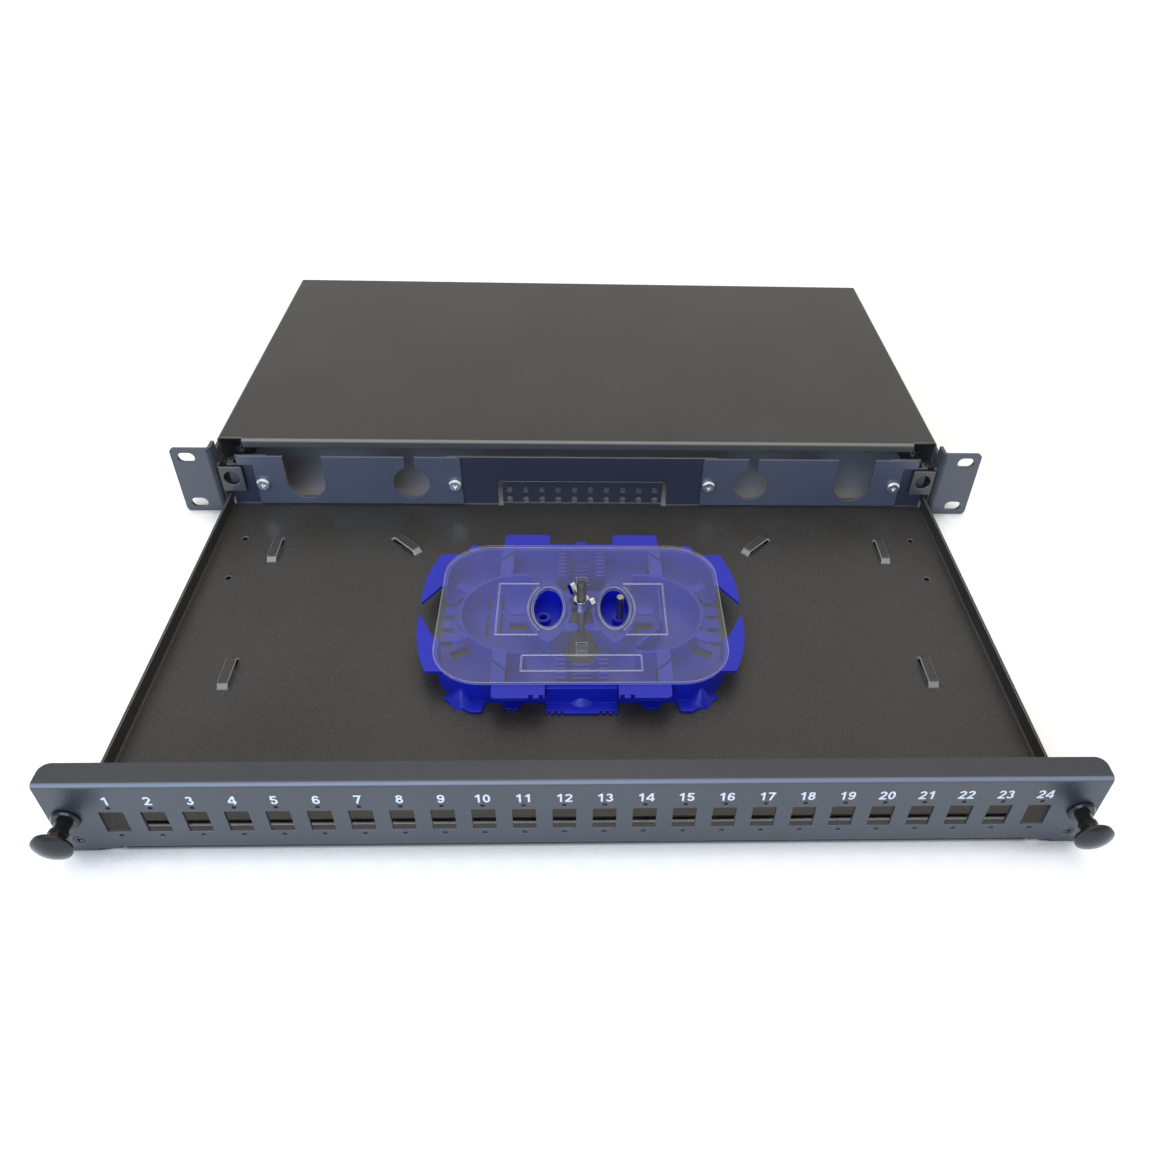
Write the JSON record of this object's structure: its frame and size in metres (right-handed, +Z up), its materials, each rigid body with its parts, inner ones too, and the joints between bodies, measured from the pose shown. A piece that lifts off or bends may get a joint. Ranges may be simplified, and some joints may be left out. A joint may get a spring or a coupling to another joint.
{
  "type": "rack-mount splice tray",
  "caption": "Sliding rack-mount fibre splice tray: a sheet-metal sleeve with rack ears, a drawer with a numbered port bezel and cable entries, and a moulded splice cassette with a clear lid.",
  "frame": {"origin": "centre of the rack-hole pattern, on the front plane of the ears", "axes": "+X to the right seen from the front, +Y into the rack, +Z up"},
  "size_m": [0.4826, 0.5068, 0.0436],
  "materials": {
    "black_powder_coat": "fine textured black powder coat on steel sheet",
    "blue_plastic": "satin moulded plastic",
    "clear_plastic": "clear moulded plastic with a faint haze",
    "black_plastic": "glossy black nylon",
    "zinc": "bright zinc plate",
    "black_zinc": "black zinc plate"
  },
  "bodies": {
    "chassis": {"housing_shell": "black_powder_coat", "bottom_plate": "black_powder_coat", "left_ear": "black_powder_coat", "right_ear": "black_powder_coat", "ear_screws": "black_zinc", "ear_nuts": "zinc"},
    "drawer": {"drawer_tray": "black_powder_coat", "front_bezel": "black_powder_coat", "bezel_screws": "black_zinc", "bezel_nuts": "zinc", "left_gland_plate": "black_powder_coat", "right_gland_plate": "black_powder_coat", "gland_screws": "zinc", "gland_nuts": "zinc", "left_grommet": "black_plastic", "right_grommet": "black_plastic", "cassette_base": "blue_plastic", "rear_splice_holder": "blue_plastic", "front_splice_holder": "blue_plastic", "cassette_stud": "zinc", "centre_stud": "zinc"},
    "left_knob": {"left_plunger": "black_plastic"},
    "right_knob": {"right_plunger": "black_plastic"},
    "lid": {"cassette_lid": "clear_plastic"},
    "wing_nut": {"wing_nut": "zinc"}
  },
  "joints": [
    {"name": "drawer_slide", "type": "slide", "parent": "chassis", "child": "drawer", "axis": [0, 1, 0], "range_m": [0, 0.244]},
    {"name": "left_latch_push", "type": "slide", "parent": "drawer", "child": "left_knob", "axis": [0, 1, 0], "range_m": [0, 0.005]},
    {"name": "right_latch_push", "type": "slide", "parent": "drawer", "child": "right_knob", "axis": [0, 1, 0], "range_m": [0, 0.005]},
    {"name": "lid_lift", "type": "slide", "parent": "drawer", "child": "lid", "axis": [0, 0, 1], "range_m": [0, 0.06]},
    {"name": "wing_nut_turn", "type": "hinge", "parent": "lid", "child": "wing_nut", "pos_m": [-0.0009, -0.1095, -0.00405], "axis": [0, 0, 1], "continuous": true}
  ]
}
